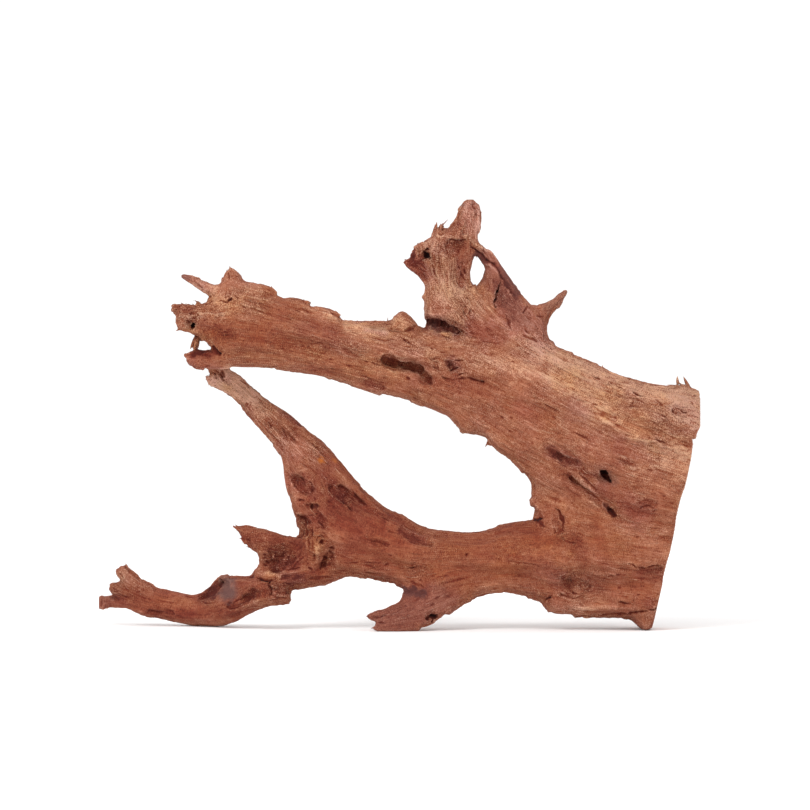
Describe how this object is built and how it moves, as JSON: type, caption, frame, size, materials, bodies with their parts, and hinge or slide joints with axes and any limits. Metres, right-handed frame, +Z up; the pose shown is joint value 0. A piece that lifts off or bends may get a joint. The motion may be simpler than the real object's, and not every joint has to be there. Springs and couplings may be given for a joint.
{
  "type": "driftwood",
  "caption": "Branching root of reddish driftwood with a sawn end, a forked head, a looped spur and split root tips, standing upright.",
  "frame": {"origin": "centre of the bounding box, on the surface that the wood stands on", "axes": "+X from the split root tips towards the sawn end, +Y through the thickness from front to back, +Z up"},
  "size_m": [0.4214, 0.0944, 0.3009],
  "materials": {
    "driftwood": "dry and matt, with open fibrous grain"
  },
  "bodies": {
    "root": {"driftwood": "driftwood"}
  },
  "joints": []
}
